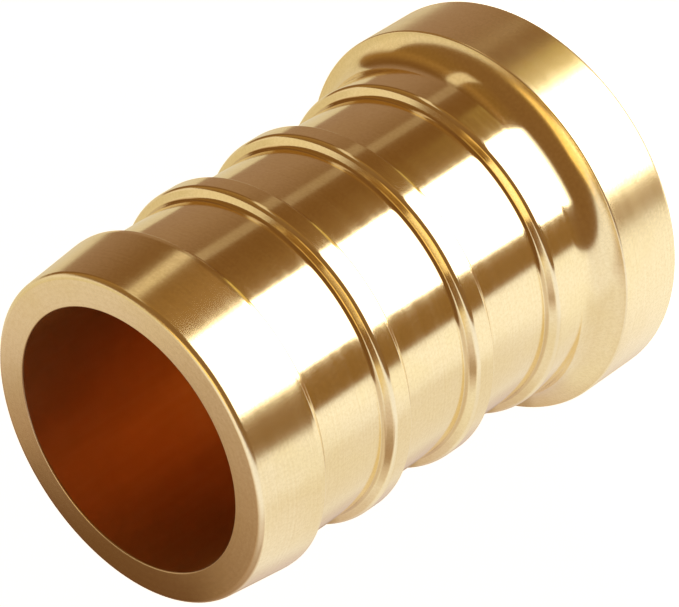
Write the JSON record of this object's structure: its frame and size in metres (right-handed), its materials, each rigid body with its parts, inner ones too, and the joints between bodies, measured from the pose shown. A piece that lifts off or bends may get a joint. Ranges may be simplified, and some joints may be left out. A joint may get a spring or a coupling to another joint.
{
  "type": "barbed end plug",
  "caption": "Turned brass end plug with a barbed, ringed spigot and a short hub. It pushes into flexible water tube, where a crimp ring clamps it, and closes the tube.",
  "frame": {"origin": "centre of the hub's flat end face, which the plug stands on", "axes": "+Z along the turning axis, from the hub's end face to the open tip; X and Y are free, because the part is round"},
  "size_m": [0.0197, 0.0196, 0.0265],
  "materials": {
    "brass": "polished, fine-turned yellow brass"
  },
  "bodies": {
    "root": {"plug_body": "brass"}
  },
  "joints": []
}
